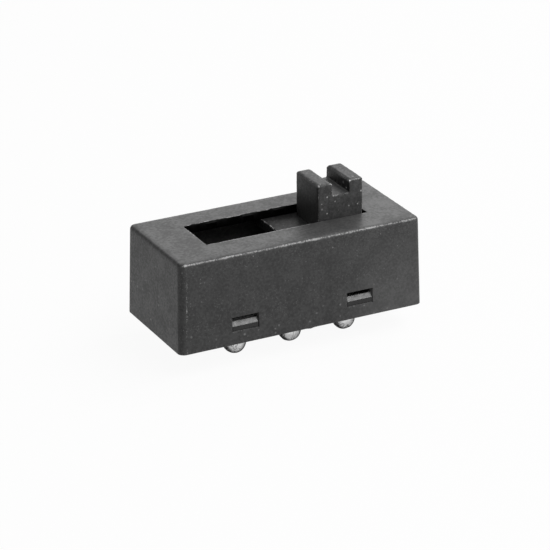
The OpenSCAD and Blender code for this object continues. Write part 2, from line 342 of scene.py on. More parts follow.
class Net:
    """Nodes of a material or a node group, placed and joined by short calls."""

    def __init__(self, tree):
        self.tree = tree
        self.count = 0

    def add(self, kind, inputs=None, **settings):
        """New node, with its settings and what goes into its inputs."""
        node = self.tree.nodes.new(kind)
        node.location = (180 * (self.count % 8), -260 * (self.count // 8))
        self.count += 1
        for key, value in settings.items():
            setattr(node, key, value)
        for key, value in (inputs or {}).items():
            self.put(node.inputs[key], value)
        return node

    def put(self, socket, value):
        """Feeds an input from another socket, or gives it a plain value."""
        if isinstance(value, bpy.types.NodeSocket):
            self.tree.links.new(value, socket)
        else:
            socket.default_value = value

    def math(self, operation, a, b=0.0, clamp=False):
        """Result of an operation on one or two values."""
        node = self.add("ShaderNodeMath", {0: a, 1: b}, operation=operation, use_clamp=clamp)
        return node.outputs[0]

    def ramp(self, value, low, high, to_low=0.0, to_high=1.0):
        """Smooth step from one value to another."""
        node = self.add(
            "ShaderNodeMapRange",
            {
                "Value": value,
                "From Min": low,
                "From Max": high,
                "To Min": to_low,
                "To Max": to_high,
            },
            clamp=True,
            interpolation_type="SMOOTHSTEP",
        )
        return node.outputs["Result"]

    def blend(self, factor, a, b):
        """Colour between two others."""
        return self.add("ShaderNodeMix", {0: factor, 6: a, 7: b}, data_type="RGBA").outputs[2]

    def noise(self, place, scale, **plain):
        """Noise at a place, with more lumps for a greater scale."""
        return self.add("ShaderNodeTexNoise", {"Vector": place, "Scale": scale, **plain}).outputs

    def mask(self, name):
        """Value that the mesh's points carry under a name."""
        return self.add("ShaderNodeAttribute", attribute_name=name).outputs["Fac"]

    def axes(self, place):
        """X, Y and Z of a place."""
        return self.add("ShaderNodeSeparateXYZ", {"Vector": place}).outputs

    def relief(self, height, depth):
        """Normal of a surface that a height from 0 to 1 raises by up to a depth."""
        inputs = {"Strength": 1.0, "Distance": depth, "Height": height}
        return self.add("ShaderNodeBump", inputs).outputs[0]

    def group(self, tree, **inputs):
        """Node group, with spaces for the underscores in the names of its inputs."""
        node = self.add("ShaderNodeGroup", node_tree=tree)
        for key, value in inputs.items():
            self.put(node.inputs[key.replace("_", " ")], value)
        return node.outputs


def grey(value):
    """Neutral colour of one brightness."""
    return (value, value, value, 1.0)


def new_group(name, inputs, outputs):
    """Empty node group with named sockets: its net, its input sockets and its output node."""
    tree = bpy.data.node_groups.new(name, "ShaderNodeTree")
    for key, (kind, value) in inputs.items():
        socket = tree.interface.new_socket(key, in_out="INPUT", socket_type=kind)
        if value is not None:
            socket.default_value = value
    for key, kind in outputs.items():
        tree.interface.new_socket(key, in_out="OUTPUT", socket_type=kind)
    net = Net(tree)
    return net, net.add("NodeGroupInput").outputs, net.add("NodeGroupOutput").inputs


FLOAT, COLOUR, VECTOR = "NodeSocketFloat", "NodeSocketColor", "NodeSocketVector"


def make_cloud():
    """Soft uneven tone of a moulded surface: slow patches with a little mottling."""
    net, given, out = new_group(
        "cloudy tone",
        {
            "Place": (VECTOR, None),
            "Dark": (COLOUR, grey(0.02)),
            "Light": (COLOUR, grey(0.04)),
            "Patch": (FLOAT, 300.0),
            "Mottle": (FLOAT, 2000.0),
            "Mottle share": (FLOAT, 0.4),
        },
        {"Colour": COLOUR, "Value": FLOAT},
    )
    patch = net.noise(given["Place"], given["Patch"], Detail=3.0)["Fac"]
    mottle = net.noise(given["Place"], given["Mottle"], Detail=2.0)["Fac"]
    shares = {0: given["Mottle share"], 2: patch, 3: mottle}
    mix = net.add("ShaderNodeMix", shares, data_type="FLOAT")
    value = net.ramp(mix.outputs[0], 0.34, 0.66)
    net.put(out["Value"], value)
    net.put(out["Colour"], net.blend(value, given["Dark"], given["Light"]))
    return net.tree


def make_flecks():
    """Small pale specks of dust and scuffs, scattered in loose patches."""
    net, given, out = new_group(
        "pale flecks",
        {
            "Place": (VECTOR, None),
            "Cell": (FLOAT, 2500.0),
            "Size": (FLOAT, 0.25),
            "Share": (FLOAT, 0.1),
            "Patch": (FLOAT, 500.0),
        },
        {"Mask": FLOAT},
    )
    wobble = net.noise(given["Place"], net.math("MULTIPLY", given["Cell"], 1.7))["Color"]
    half_cell = net.math("DIVIDE", 0.5, given["Cell"])
    shift = net.add("ShaderNodeVectorMath", {0: wobble, "Scale": half_cell}, operation="SCALE")
    moved = {0: given["Place"], 1: shift.outputs[0]}
    place = net.add("ShaderNodeVectorMath", moved, operation="ADD").outputs[0]
    cells = net.add("ShaderNodeTexVoronoi", {"Vector": place, "Scale": given["Cell"]})
    split = net.add("ShaderNodeSeparateColor", {"Color": cells.outputs["Color"]})
    patch = net.noise(given["Place"], given["Patch"])["Fac"]
    share = net.math("MULTIPLY", given["Share"], net.ramp(patch, 0.35, 0.65, 0.2, 1.8))
    chosen = net.math("LESS_THAN", split.outputs[0], share)
    size = net.math("MULTIPLY", given["Size"], net.math("ADD", 0.45, split.outputs[1]))
    near = net.math("SUBTRACT", 1.0, net.math("DIVIDE", cells.outputs["Distance"], size))
    spot = net.math("MULTIPLY", net.ramp(near, 0.0, 0.6), chosen)
    level = net.math("ADD", 0.35, net.math("MULTIPLY", 0.65, split.outputs[2]))
    net.put(out["Mask"], net.math("MULTIPLY", spot, level))
    return net.tree


def make_grain():
    """Height of a spark-eroded surface: fine pits with a slow waviness under them."""
    net, given, out = new_group(
        "fine grain",
        {
            "Place": (VECTOR, None),
            "Pits": (FLOAT, 7000.0),
            "Waves": (FLOAT, 900.0),
            "Wave share": (FLOAT, 0.5),
        },
        {"Height": FLOAT},
    )
    pits = net.noise(given["Place"], given["Pits"], Detail=3.0, Roughness=0.6)["Fac"]
    waves = net.noise(given["Place"], given["Waves"], Detail=2.0)["Fac"]
    waves = net.math("MULTIPLY", waves, given["Wave share"])
    net.put(out["Height"], net.math("ADD", pits, waves))
    return net.tree


def make_rub():
    """Broken pale line where an edge is rubbed or carries a trace of flash."""
    net, given, out = new_group(
        "rubbed edge",
        {
            "Place": (VECTOR, None),
            "Edge": (FLOAT, 0.0),
            "Grit": (FLOAT, 5000.0),
            "Reach": (FLOAT, 0.5),
        },
        {"Mask": FLOAT},
    )
    grit = net.noise(given["Place"], given["Grit"], Detail=3.0, Roughness=0.65)["Fac"]
    slow = net.noise(given["Place"], net.math("MULTIPLY", given["Grit"], 0.15))["Fac"]
    grit = net.math("ADD", grit, net.math("MULTIPLY", 0.5, net.math("SUBTRACT", slow, 0.5)))
    line = net.math("MULTIPLY", net.math("SUBTRACT", given["Edge"], 1.0), given["Reach"])
    net.put(out["Mask"], net.ramp(net.math("ADD", grit, line), 0.3, 0.62))
    return net.tree


cloud_tree = make_cloud()
fleck_tree = make_flecks()
grain_tree = make_grain()
rub_tree = make_rub()


def empty_net(owner):
    """Net on the cleared nodes of a material or the world."""
    owner.use_nodes = True
    owner.node_tree.nodes.clear()
    return Net(owner.node_tree)


def new_material(name, **plain):
    """Material with a Principled shader, whose plain values stand on its own sockets."""
    material = bpy.data.materials.new(name)
    net = empty_net(material)
    shader = net.add("ShaderNodeBsdfPrincipled", plain)
    net.add("ShaderNodeOutputMaterial", {"Surface": shader.outputs[0]})
    place = net.add("ShaderNodeTexCoord").outputs["Object"]
    return material, net, shader.inputs, place


def plastic(
    name,
    dark,
    light,
    rough,
    specular,
    flecks,
    fleck_size,
    fleck_tone,
    rub_tone,
    pits,
    pit_depth,
    painted_bounce_light=False,
    painted_tooth_light=False,
):
    """Matt black moulded plastic with grain, soft patches, flecks, rubbed edges and painted shade.

    dark to light is the tone of the patches, flecks the share of flecked places, and rub_tone the
    tone of a rubbed edge. The housing gets painted light, paler low down towards its right-hand
    end, and the board's snap teeth painted shade on their faces and a painted highlight on their
    ramps."""
    material, net, shader, place = new_material(name, **{"Specular IOR Level": specular})
    tone = net.group(
        cloud_tree,
        Place=place,
        Dark=grey(dark),
        Light=grey(light),
        Patch=420.0,
        Mottle=3300.0,
        Mottle_share=0.6,
    )
    busy = net.math("SUBTRACT", 1.0, net.math("MULTIPLY", net.mask("calm"), 0.8))
    spots = net.group(
        fleck_tree, Place=place, Cell=2300.0, Size=fleck_size, Share=flecks * 0.6, Patch=420.0
    )["Mask"]
    dust = net.group(
        fleck_tree, Place=place, Cell=5600.0, Size=0.4, Share=flecks * 2.2, Patch=800.0
    )["Mask"]
    spots = net.math("MULTIPLY", spots, busy)
    dust = net.math("MULTIPLY", dust, busy)
    edge = net.mask("rub")
    rub = net.group(rub_tree, Place=place, Edge=edge, Grit=6200.0, Reach=0.5)["Mask"]
    colour = tone["Colour"]
    if painted_bounce_light:
        # Painted light: paler towards the right-hand end, most of all low down, for light thrown up
        # from the floor
        part = net.axes(place)
        painted_bounce = net.ramp(part["X"], 4 * MM, 11 * MM)
        painted_bounce = net.math("MULTIPLY", painted_bounce, net.ramp(part["Z"], rim_z, top_z, 0.55, 0.12))
        painted_bounce = net.math("MULTIPLY", painted_bounce, net.ramp(tone["Value"], 0.0, 1.0, 0.8, 1.15))
        colour = net.blend(painted_bounce, colour, grey(0.12))
    colour = net.blend(net.math("MULTIPLY", dust, 0.42), colour, grey(0.16))
    colour = net.blend(net.math("MULTIPLY", spots, 0.7), colour, grey(fleck_tone))
    colour = net.blend(net.math("MULTIPLY", rub, edge, clamp=True), colour, grey(rub_tone))
    if painted_tooth_light:
        # Painted shade on the snap teeth's faces, blackened, and a painted highlight on their ramps
        part = net.axes(place)
        reach = net.math("ABSOLUTE", part["Y"])
        outer = net.ramp(reach, half_w - 0.7 * MM, half_w - 0.6 * MM)
        above = net.ramp(part["Z"], ramp_z - 0.03 * MM, ramp_z + 0.03 * MM)
        colour = net.blend(outer, colour, grey(0.005))
        painted_ramp_highlight = net.blend(tone["Value"], grey(0.075), grey(0.18))
        colour = net.blend(net.math("MULTIPLY", outer, above), colour, painted_ramp_highlight)
    # Painted shade: dead black, without colour or gloss, on walls and edges where shade falls
    painted_shade = net.mask("painted_shade")
    colour = net.blend(net.math("MULTIPLY", painted_shade, 0.96), colour, grey(0.002))
    net.put(shader["Base Color"], colour)
    net.put(shader["Metallic"], painted_shade)
    net.put(shader["Roughness"], net.ramp(tone["Value"], 0.0, 1.0, rough + 0.05, rough - 0.05))
    height = net.group(grain_tree, Place=place, Pits=pits, Waves=900.0)["Height"]
    net.put(shader["Normal"], net.relief(height, pit_depth))
    return material


def metal(name, colour, tarnish, rough, lumps, lump_depth, wire=False):
    """Metal with uneven tarnish, and lumps or, on wire, drawing marks in its surface."""
    material, net, shader, place = new_material(name, Metallic=1.0)
    tone = net.group(
        cloud_tree,
        Place=place,
        Dark=(*tarnish, 1.0),
        Light=(*colour, 1.0),
        Patch=900.0,
        Mottle=4200.0,
    )
    net.put(shader["Base Color"], tone["Colour"])
    net.put(shader["Roughness"], net.ramp(tone["Value"], 0.0, 1.0, rough + 0.12, rough))
    pits = 9000.0 if wire else lumps
    height = net.group(grain_tree, Place=place, Pits=pits, Waves=lumps / 3)["Height"]
    net.put(shader["Normal"], net.relief(height, lump_depth))
    return material


def solder(name):
    """Tin left by the solder bath: bright lumps, dark wandering flow lines and a tip in painted
    shade.
    """
    material, net, shader, place = new_material(
        name, **{"Metallic": 1.0, "Specular Tint": grey(0.25)}
    )
    tone = net.group(
        cloud_tree,
        Place=place,
        Dark=grey(0.74),
        Light=grey(0.95),
        Patch=900.0,
        Mottle=2600.0,
    )
    flow = net.noise(place, 950.0, Detail=1.0, Distortion=0.8)["Fac"]
    line = net.ramp(net.math("ABSOLUTE", net.math("SUBTRACT", flow, 0.54)), 0.008, 0.03, 1.0, 0.0)
    height = net.axes(place)["Z"]
    wetted = net.ramp(height, rim_z - 0.5 * MM, rim_z, 0.8, 0.0)
    colour = net.blend(net.math("MULTIPLY", line, wetted), tone["Colour"], grey(0.1))
    height = net.math("ADD", height, net.math("MULTIPLY", flow, 0.35 * MM))
    # Painted shade: the nose goes dark towards its lowest point, where it mirrors the shaded floor
    # under the part
    tip = net.ramp(height, 0.55 * MM, 0.72 * MM, 1.0, 0.0)
    colour = net.blend(net.math("MULTIPLY", tip, 0.92), colour, grey(0.05))
    net.put(shader["Base Color"], colour)
    net.put(shader["Roughness"], net.ramp(tone["Value"], 0.0, 1.0, 0.18, 0.07))
    lumps = net.group(grain_tree, Place=place, Pits=1900.0, Waves=620.0, Wave_share=1.2)["Height"]
    net.put(shader["Normal"], net.relief(lumps, 3e-5))
    return material


housing_plastic = plastic(
    "housing plastic",
    dark=0.035,
    light=0.062,
    rough=0.46,
    specular=0.27,
    flecks=0.21,
    fleck_size=0.28,
    fleck_tone=0.25,
    rub_tone=0.42,
    pits=6500.0,
    pit_depth=6e-6,
    painted_bounce_light=True,
)
# Painted shade: the same moulding as the knob, given a far darker tone where it lies in the slot
carrier_plastic_painted_shade = plastic(
    "carrier plastic in painted shade",
    dark=0.009,
    light=0.017,
    rough=0.48,
    specular=0.16,
    flecks=0.06,
    fleck_size=0.26,
    fleck_tone=0.3,
    rub_tone=0.6,
    pits=7500.0,
    pit_depth=4e-6,
)
fork_plastic = plastic(
    "fork plastic",
    dark=0.044,
    light=0.082,
    rough=0.47,
    specular=0.2,
    flecks=0.2,
    fleck_size=0.34,
    fleck_tone=0.6,
    rub_tone=0.6,
    pits=7000.0,
    pit_depth=6e-6,
)
board_plastic = plastic(
    "board plastic",
    dark=0.018,
    light=0.04,
    rough=0.3,
    specular=0.5,
    flecks=0.1,
    fleck_size=0.26,
    fleck_tone=0.22,
    rub_tone=0.34,
    pits=3800.0,
    pit_depth=8e-6,
    painted_tooth_light=True,
)
tinned = solder("tinned brass")
silver = metal("contact silver", (0.86, 0.86, 0.84), (0.62, 0.61, 0.58), 0.28, 3000.0, 5e-6)
copper = metal("rolled copper", (0.78, 0.46, 0.29), (0.50, 0.28, 0.17), 0.3, 2600.0, 5e-6)
spring_wire = metal(
    "spring wire", (0.60, 0.60, 0.61), (0.38, 0.38, 0.39), 0.28, 5200.0, 3e-6, wire=True
)
ball_steel = metal("polished steel", (0.75, 0.75, 0.76), (0.62, 0.62, 0.63), 0.1, 2600.0, 1e-6)


# ---------------------------------------------------------------- housing


def round_block(low, high, corner_r, corner_segments, lean=0.0):
    """Box with round upright corners, leaning in by a given amount up to its top."""
    bm = block(low, high)
    upper = [v for v in bm.verts if v.co.z > (low.z + high.z) / 2]
    middle = (low + high) / 2
    size = high - low
    bmesh.ops.scale(
        bm,
        vec=(1 - 2 * lean / size.x, 1 - 2 * lean / size.y, 1),
        space=Matrix.Translation(-middle),
        verts=upper,
    )
    soften(bm, [e for e in bm.edges if upright(e)], corner_r, corner_segments)
    return bm


def in_slot(p):
    """Whether a point lies within the slot, seen from above."""
    return slot_low.x < p.x < slot_high.x and slot_low.y < p.y < slot_high.y


def in_window(p):
    """Whether a point lies within a window, seen from the front."""
    return window_low.x < abs(p.x) < window_high.x and window_low.z < p.z < window_high.z


def slot_gap(p):
    """Distance from a point to the slot's sides, seen from above."""
    middle, half = (slot_low + slot_high) / 2, (slot_high - slot_low) / 2
    dx, dy = abs(p.x - middle.x) - half.x, abs(p.y - middle.y) - half.y
    return math.hypot(max(dx, 0), max(dy, 0)) if max(dx, dy) > 0 else max(dx, dy)


def window_gap(p):
    """Distance from a point on the front or back to the sides of the nearest window."""
    middle, half = (window_low + window_high) / 2, (window_high - window_low) / 2
    dx, dz = abs(abs(p.x) - middle.x) - half.x, abs(p.z - middle.z) - half.z
    return math.hypot(max(dx, 0), max(dz, 0)) if max(dx, dz) > 0 else max(dx, dz)


def on_slot(p):
    """Whether a point is on the slot's sides, seen from above."""
    return abs(slot_gap(p)) < TINY


def housing_cuts():
    """Places along X, Y and Z to cut the housing's skin, the edges of its openings among them."""
    step_x, step_y, step_z = HOUSING_STEPS
    jambs = [side * x for side in (-1, 1) for x in (window_low.x, window_high.x)]
    ends = [slot_low.x, slot_high.x]
    return (
        spread(-half_l + CORNER_R, half_l - CORNER_R, step_x, ends + jambs),
        spread(-half_w + CORNER_R, half_w - CORNER_R, step_y, [slot_low.y, slot_high.y]),
        spread(rim_z, top_z - TOP_EDGE_R, step_z, [window_low.z, seat_z, window_high.z]),
    )


def housing_skin(cuts):
    """Outside of the housing, open below and at its openings."""
    bm = round_block(rim_low, top_high, CORNER_R, 8, DRAFT)
    soften(bm, [e for e in bm.edges if at_height(e, top_z)], TOP_EDGE_R, 6)
    drop_faces(bm, lambda p: p.z < rim_z + TINY)
    for axis, places in enumerate(cuts):
        slice_up(bm, axis, places)
    drop_faces(bm, lambda p: p.z > top_z - TINY and in_slot(p))
    drop_faces(bm, lambda p: abs(p.y) > half_w - DRAFT - TINY and in_window(p))
    return bm


def housing_hollow(cuts):
    """Inside of the housing: the cavity, a step out at the seat, and the board's pocket."""
    step = Vector((RIM_WALL + SEAT_STEP, RIM_WALL + SEAT_STEP, 0))
    bm = round_block(
        Vector((-half_l, -half_w, seat_z)) + step,
        Vector((half_l, half_w, ceiling_z)) - step,
        INNER_R,
        3,
    )
    drop_faces(bm, lambda p: p.z < seat_z + TINY)
    ledge = bmesh.ops.extrude_edge_only(bm, edges=open_edges(bm))
    inner = Vector((half_l, half_w, 0)) - step
    wider = ((inner.x + SEAT_STEP) / inner.x, (inner.y + SEAT_STEP) / inner.y, 1)
    bmesh.ops.scale(bm, vec=wider, verts=new_points(ledge))
    wall = bmesh.ops.extrude_edge_only(bm, edges=open_edges(bm))
    bmesh.ops.translate(bm, vec=(0, 0, rim_z - seat_z), verts=new_points(wall))
    slice_up(bm, 0, cuts[0])
    slice_up(bm, 1, cuts[1])
    slice_up(bm, 2, [window_low.z, window_high.z])
    drop_faces(bm, lambda p: p.z > ceiling_z - TINY and in_slot(p))
    drop_faces(bm, lambda p: abs(p.y) > wall_y - TINY and in_window(p))
    return bm


def join_walls(bm):
    """Joins the outside to the inside: the slot's walls, the rim and the windows' four sides."""
    slot = open_edges(bm, lambda p: p.z > ceiling_z - TINY and on_slot(p))
    bmesh.ops.bridge_loops(bm, edges=slot)
    bmesh.ops.bridge_loops(bm, edges=open_edges(bm, lambda p: p.z < rim_z + TINY))
    for side in (-1, 1):
        for end in (-1, 1):
            for level in (window_low.z, window_high.z):
                chain = open_edges(
                    bm,
                    lambda p: abs(p.z - level) < TINY
                    and p.y * side > wall_y - TINY
                    and window_low.x - TINY < p.x * end < window_high.x + TINY,
                )
                bmesh.ops.bridge_loops(bm, edges=chain)
    close_holes(bm)
    bmesh.ops.recalc_face_normals(bm, faces=bm.faces)


def round_lips(bm):
    """Small rounding where the slot and the windows meet the outside."""

    def on_frame(p):
        return abs(window_gap(p)) < TINY and abs(p.y) > half_w - DRAFT - TINY

    lips = [e for e in bm.edges if at_height(e, top_z) and all(on_slot(v.co) for v in e.verts)]
    soften(bm, lips, SLOT_LIP_R, 2)
    frames = [e for e in bm.edges if all(on_frame(v.co) for v in e.verts)]
    soften(bm, frames, WINDOW_LIP_R, 2)


def skin_gaps(p):
    """Gaps from a point to the end, to the front or back, and to the top of the housing."""
    lean = DRAFT * (p.z - rim_z) / (top_z - rim_z)
    return half_l - lean - abs(p.x), half_w - lean - abs(p.y), top_z - p.z


def edge_wear(gaps):
    """How close a point is to an edge of the front or back, and to one of an end."""
    front = nearness(max(gaps[1], gaps[2]), *EDGE_REACH)
    end = nearness(max(gaps[0], gaps[2]), *EDGE_REACH)
    return front, end


def slot_wear(p):
    """How close a point is to the slot's lip."""
    return nearness(edge_gap((slot_gap(p), top_z - p.z)), *LIP_REACH)


def mark_housing(bm):
    """Masks on the housing: rubbed edges and lips, painted shade on walls and edges, and the clean
    top.
    """
    rub, painted_shade, calm = new_masks(bm, "rub", "painted_shade", "calm")
    near_corner = Vector((-half_l + DRAFT + 0.7 * MM, -half_w + DRAFT, top_z))
    for v in bm.verts:
        p = v.co
        gaps = skin_gaps(p)
        # Painted shade: the slot's walls below the lip go dead black
        if on_slot(p) and ceiling_z - TINY < p.z < top_z - 0.03 * MM:
            v[painted_shade] = 1.0
        if min(gaps) > SKIN_DEPTH:
            continue
        front, end = edge_wear(gaps)
        corner = nearness(max(gaps[0], gaps[1]), 0.3 * MM, 0.8 * MM)
        # Flecks down the near corner, where its round meets the front
        seam = 0.0
        if p.x < 0 and p.y < 0 and gaps[1] < 0.1 * MM:
            seam = nearness(abs(gaps[0] - CORNER_R), 0.0, 0.3 * MM)
        window = 0.0
        if gaps[1] < 0.2 * MM:
            window = nearness(edge_gap((window_gap(p), gaps[1])), *LIP_REACH)
        rim = nearness(p.z - rim_z, 0.0, 0.2 * MM)
        if p.y < 0:
            worn = 1.3 if slot_low.x + 0.3 * MM < p.x < knob_low.x - MM else 0.65
        else:
            worn = 0.55 + 0.8 * ripple(p, 0.9 * MM, 4)
        first = nearness((p - near_corner).length, *EDGE_REACH)
        v[rub] = max(
            front if p.y < 0 else 0.4 * front,
            0.15 * end,
            0.4 * corner * ripple(p, 0.9 * MM, 7),
            seam * (0.3 + 0.6 * ripple(p, 0.7 * MM, 15)),
            slot_wear(p) * worn,
            window * (0.75 if p.z < window_low.z + 0.1 * MM else 0.1),
            0.6 * rim,
            1.5 * first,
        )
        # Painted shade along the ends' top edges and down the upright corners, away from the front
        # edges
        v[painted_shade] = max(v[painted_shade], (1 - front) * max(0.68 * end, 0.3 * corner))
        v[calm] = nearness(gaps[2], 0.05 * MM, 0.3 * MM)


def lip_push(p):
    """Push of a point away from the slot, for a wavering lip with notches along its back."""
    inset = 0.3 * MM
    inside = Vector(
        (
            min(max(p.x, slot_low.x + inset), slot_high.x - inset),
            min(max(p.y, slot_low.y + inset), slot_high.y - inset),
            0,
        )
    )
    away = Vector((p.x, p.y, 0)) - inside
    amount = 0.04 * ripple(p, 0.5 * MM, 5) + 0.04 * ripple(p, 1.4 * MM, 6)
    ends = min(p.x - slot_low.x, slot_high.x - p.x)
    middle = 1 - nearness(ends, 0.3 * MM, 1.2 * MM)
    if p.y > 0:
        amount += 0.17 * middle * nearness(ripple(p, 0.75 * MM, 14), 0.42, 0.56)
    amount *= 0.25 + 0.75 * middle
    return away.normalized() * slot_wear(p) * amount * MM


def warp_housing(bm):
    """Uneven moulding: slow waves over the outside, and a wavering line along the edges."""
    pushes = []
    for v in bm.verts:
        p = v.co
        gaps = skin_gaps(p)
        if min(gaps) > SKIN_DEPTH:
            continue
        outer = max(edge_wear(gaps))
        push = 0.012 * MM * ripple(p, 3.2 * MM, 1)
        push += outer * MM * (0.045 * ripple(p, 0.55 * MM, 2) + 0.03 * ripple(p, 1.7 * MM, 3))
        pushes.append((v, -push * v.normal))
        if window_low.x < abs(p.x) < window_high.x:
            floor = nearness(abs(p.z - window_low.z), 0.03 * MM, 0.1 * MM)
            pushes.append((v, Vector((0, 0, WINDOW_FLOOR_RISE * floor))))
        if p.z < rim_z + TINY and p.y < -half_w + 0.4 * MM:
            nub = nearness(abs(p.x - NUB_X), 0.1 * MM, NUB_HALF_L)
            pushes.append((v, Vector((0, 0, -NUB_DROP * nub))))
        if slot_wear(p) > 0:
            pushes.append((v, lip_push(p)))
    push_points(pushes)


def build_housing():
    """Drafted shell with its slot, four windows and the board's pocket."""
    cuts = housing_cuts()
    bm = housing_skin(cuts)
    join(bm, housing_hollow(cuts))
    join_walls(bm)
    slice_up(
        bm,
        2,
        [top_z - SLOT_LIP_DEPTH],
        lambda p: ceiling_z < p.z < top_z - TINY and on_slot(p),
    )
    round_lips(bm)
    face_out(bm)
    mark_housing(bm)
    warp_housing(bm)
    return bm


make_piece(
    build_housing(), "housing_shell", "switch_body", housing_plastic, ["housing"]
)


# ---------------------------------------------------------------- slider


def build_carrier():
    """The slider below its knob, from the solid, with the knob cut off just above the flange."""
    bm = bmesh.new()
    bm.from_mesh(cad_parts["slider"].data)
    bmesh.ops.remove_doubles(bm, verts=bm.verts, dist=TINY)
    root_z = flange_z + 0.1 * MM
    bmesh.ops.bisect_plane(
        bm,
        geom=bm.verts[:] + bm.edges[:] + bm.faces[:],
        dist=TINY / 10,
        plane_co=(0, 0, root_z),
        plane_no=(0, 0, 1),
        clear_outer=True,
    )
    close_holes(bm)
    # Short steps at the left-hand end, for its uneven edge
    slice_up(bm, 0, [flange_low.x + d * MM for d in (0.08, 0.18, 0.3, 0.5)])
    slice_up(bm, 1, spread(flange_low.y, flange_high.y, 0.1 * MM))
    bmesh.ops.dissolve_degenerate(bm, dist=TINY, edges=bm.edges)
    (rub,) = new_masks(bm, "rub")
    for v in bm.verts:
        p = v.co
        gaps = (p.x - flange_low.x, flange_z - p.z)
        if max(map(abs, gaps)) < 0.4 * MM:
            edge = nearness(edge_gap(gaps), 0.02 * MM, 0.32 * MM)
            v[rub] = edge * (0.35 + 0.95 * ripple(p, 0.45 * MM, 11))
            v.co.x += edge * MM * (0.13 * ripple(p, 0.3 * MM, 8) + 0.05 * ripple(p, 1.1 * MM, 9))
            v.co.z -= edge * MM * 0.05 * ripple(p, 0.3 * MM, 10)
    return bm


def fork_block():
    """Sharp-edged fork, with the left and right sides of its groove and the groove's floor."""
    bm = bmesh.new()
    middle = (knob_low.x + knob_high.x) / 2
    left, right = middle - GROOVE_W / 2, middle + GROOVE_W / 2
    floor_z, foot_z = knob_high.z - GROOVE_DEPTH, flange_z - 0.05 * MM
    corners = [
        (knob_low.x, foot_z),
        (knob_high.x, foot_z),
        (knob_high.x, knob_high.z),
        (right, knob_high.z),
        (right, floor_z),
        (left, floor_z),
        (left, knob_high.z),
        (knob_low.x, knob_high.z),
    ]
    bm.faces.new([bm.verts.new((x, knob_low.y, z)) for x, z in corners])
    solid = bmesh.ops.extrude_face_region(bm, geom=bm.faces[:])
    bmesh.ops.translate(bm, vec=(0, knob_high.y - knob_low.y, 0), verts=new_points(solid))
    bmesh.ops.recalc_face_normals(bm, faces=bm.faces)
    return bm, left, right, floor_z


def nicks(right):
    """Places of the small nicks on the knob: its front, its right edge and the groove's wall."""
    return [
        Vector((x, knob_low.y + behind * MM, top_z + height * MM))
        for x, behind, height in (
            (knob_low.x + 1.15 * MM, 0, 2.75),
            (knob_low.x + 1.15 * MM, 0, 0.75),
            (knob_high.x - 0.6 * MM, 0, 1.45),
            (knob_high.x - 0.75 * MM, 0, 1.2),
            (knob_high.x - 0.3 * MM, 0, 2.75),
            (right, 0.75, 3.15),
            (right, 1.45, 3.55),
        )
    ]


def round_fork(bm, left, right, floor_z):
    """Rounds the fork's edges and cuts its faces into short steps."""

    def along_y(e, x, z):
        return all(abs(v.co.x - x) < TINY and abs(v.co.z - z) < TINY for v in e.verts)

    def outermost(e):
        return abs(e.verts[0].co.x - (left + right) / 2) > 2 * MM

    inner = [e for e in bm.edges if along_y(e, left, floor_z) or along_y(e, right, floor_z)]
    soften(bm, inner, GROOVE_R, 4)
    outer = [e for e in bm.edges if upright(e) and outermost(e)]
    tops = [e for e in bm.edges if at_height(e, knob_high.z)]
    soften(bm, outer + tops, KNOB_EDGE_R, 5)
    slice_up(bm, 0, spread(knob_low.x + KNOB_EDGE_R, knob_high.x - KNOB_EDGE_R, KNOB_STEP))
    slice_up(bm, 1, spread(knob_low.y + KNOB_EDGE_R, knob_high.y - KNOB_EDGE_R, KNOB_STEP))
    slice_up(bm, 2, spread(flange_z, knob_high.z - KNOB_EDGE_R, KNOB_STEP))


def build_fork():
    """Forked knob, its edges rounded, a little uneven and nicked."""
    bm, left, right, floor_z = fork_block()
    round_fork(bm, left, right, floor_z)
    rub, painted_shade, calm = new_masks(bm, "rub", "painted_shade", "calm")
    tips = [Vector((x, knob_low.y, knob_high.z)) for x in (knob_low.x, left, right)]
    marks = nicks(right)
    face_out(bm)
    pushes = []
    for v in bm.verts:
        p = v.co
        side_x = min(p.x - knob_low.x, knob_high.x - p.x)
        side_y = min(p.y - knob_low.y, knob_high.y - p.y)
        groove = max(left - p.x, p.x - right) if p.z > floor_z - TINY else MM
        if left < p.x < right:
            gaps = (side_y, p.z - floor_z)
        else:
            gaps = (side_x, side_y, knob_high.z - p.z, groove)
        edge = nearness(edge_gap(gaps), 0.1 * MM, 0.34 * MM)
        tip = min((p - corner).length for corner in tips)
        nick = min((p - mark).length for mark in marks)
        left_face = nearness(p.x - knob_low.x, 0.05 * MM, 0.2 * MM)
        worn = 0.75 if left < p.x < right else 0.62
        v[rub] = max(
            edge * (worn if p.y < 0 else 0.3),
            1.6 * nearness(tip, *TIP_REACH),
            1.5 * nearness(nick, *NICK_REACH),
        )
        v[calm] = left_face
        # Painted shade on the groove's right wall, the knob's ends and left face, and the right
        # prong's top
        if p.z < knob_high.z - KNOB_EDGE_R:
            wall = nearness(abs(p.x - right), 0.0, 0.16 * MM) if p.z > floor_z + TINY else 0.0
            sides = nearness(side_x, 0.02 * MM, 0.16 * MM)
            v[painted_shade] = max(0.8 * wall, 0.55 * sides, 0.16 * left_face)
            v[painted_shade] *= 1 - nearness(nick, 0.1 * MM, 0.25 * MM)
        elif p.x > right:
            v[painted_shade] = 0.3
        push = 0.012 * ripple(p, 1.6 * MM, 12) + edge * 0.05 * ripple(p, 0.45 * MM, 13)
        pushes.append((v, -push * MM * v.normal))
        if p.z > knob_high.z - KNOB_EDGE_R:
            back = nearness(knob_high.y - p.y, 0.0, 0.7 * MM)
            pushes.append((v, Vector((0, 0, -PRONG_DROP * back * back))))
    push_points(pushes)
    return bm


make_piece(
    build_carrier(), "slider_carrier", "slider_body", carrier_plastic_painted_shade, ["slider"]
)
make_piece(build_fork(), "slider_fork", "slider_body", fork_plastic)


# ---------------------------------------------------------------- terminals


